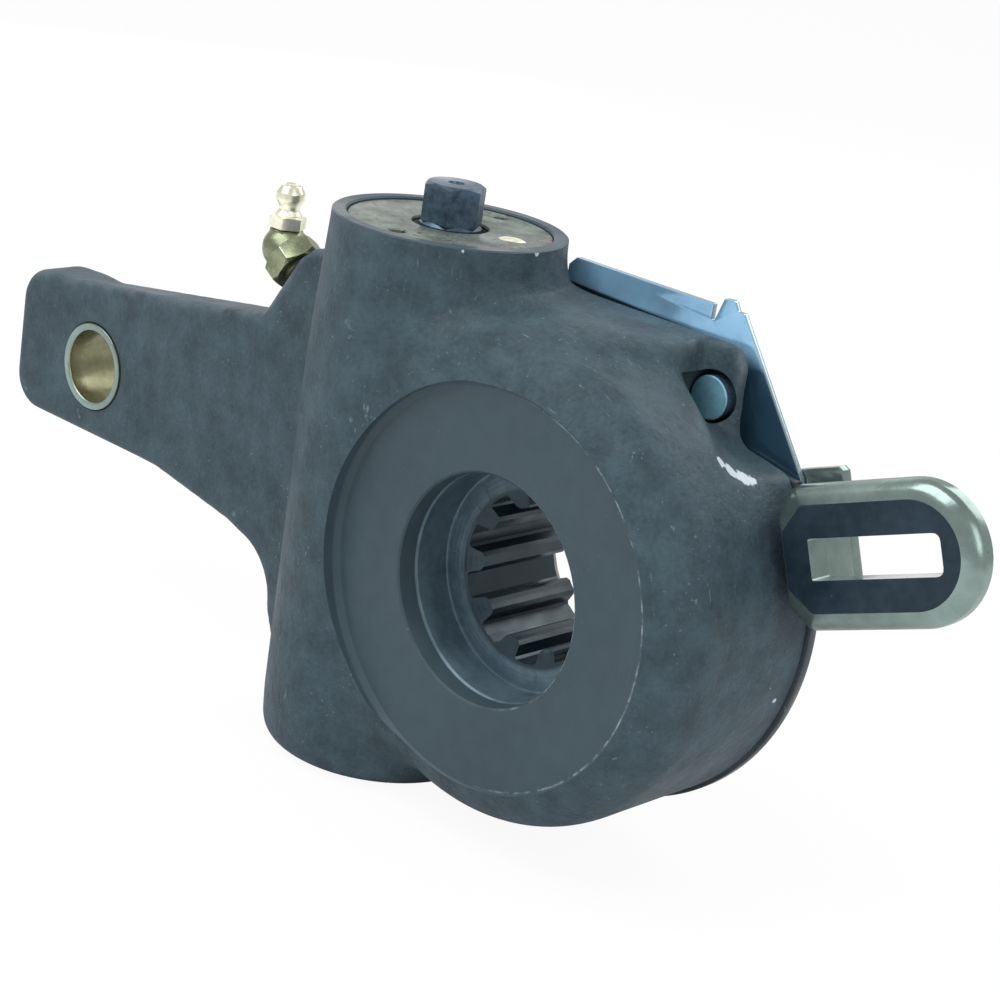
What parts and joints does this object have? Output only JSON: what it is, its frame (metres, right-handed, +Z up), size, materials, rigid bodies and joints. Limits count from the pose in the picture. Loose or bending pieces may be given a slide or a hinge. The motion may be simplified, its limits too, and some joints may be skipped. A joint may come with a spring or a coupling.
{
  "type": "brake slack adjuster",
  "caption": "Automatic brake slack adjuster: forged lever arm and housing, worm drive to a splined camshaft bore, clutch and rack adjusting train, and a slotted control arm.",
  "frame": {"origin": "centre of the camshaft bore at the machined boss face", "axes": "+X away from the lever arm, +Y along the camshaft bore into the part, +Z up along the worm shaft towards the hexagon"},
  "size_m": [0.2831, 0.056, 0.1348],
  "materials": {
    "forging": "satin",
    "bare_steel": "satin",
    "dark_steel": "satin",
    "blue_zinc": "satin",
    "pale_zinc": "satin",
    "yellow_zinc": "satin",
    "rubber": "matte"
  },
  "bodies": {
    "body_housing": {"housing": "forging", "clevis_bushing": "pale_zinc", "hub_seal": "rubber", "worm_spring": "dark_steel", "thrust_washer": "bare_steel", "end_cap": "bare_steel", "shaft_seal": "rubber", "lower_bush": "yellow_zinc", "lower_plug": "pale_zinc", "rear_cover": "dark_steel", "cover_seal": "rubber", "guard_plate": "blue_zinc", "ear_screw": "blue_zinc", "cover_screw_1": "dark_steel", "cover_screw_2": "dark_steel", "cover_screw_3": "dark_steel", "cover_screw_4": "dark_steel", "grease_elbow": "yellow_zinc", "grease_nipple": "yellow_zinc"},
    "body_wheel": {"worm_wheel": "bare_steel"},
    "body_worm": {"worm_shaft": "dark_steel", "clutch_wheel": "bare_steel"},
    "body_arm": {"control_disc": "bare_steel", "control_arm": "pale_zinc"},
    "body_rack": {"rack": "bare_steel"},
    "body_gear": {"gear_wheel": "bare_steel", "clutch_spring": "dark_steel"}
  },
  "joints": [
    {"name": "wheel_spin", "type": "hinge", "parent": "body_housing", "child": "body_wheel", "pos_m": [0, 0.024, 0], "axis": [0, 1, 0], "continuous": true},
    {"name": "worm_spin", "type": "hinge", "parent": "body_housing", "child": "body_worm", "pos_m": [-0.0463, 0.024, 0], "axis": [0, 0, 1], "continuous": true},
    {"name": "arm_swing", "type": "hinge", "parent": "body_housing", "child": "body_arm", "pos_m": [0, 0.045, 0], "axis": [0, -1, 0], "range_deg": [-10, 14]},
    {"name": "rack_slide", "type": "slide", "parent": "body_housing", "child": "body_rack", "axis": [1, 0, 0], "range_m": [-0.0058, 0.0079]},
    {"name": "gear_spin", "type": "hinge", "parent": "body_housing", "child": "body_gear", "pos_m": [-0.0463, 0.024, -0.04], "axis": [0, 0, 1], "range_deg": [-46, 34]}
  ],
  "couplings": [
    {"joint": "worm_spin", "follows": "wheel_spin", "ratio": -24},
    {"joint": "rack_slide", "follows": "arm_swing", "m_per_rad": 0.031},
    {"joint": "gear_spin", "follows": "arm_swing", "ratio": -3.1}
  ]
}
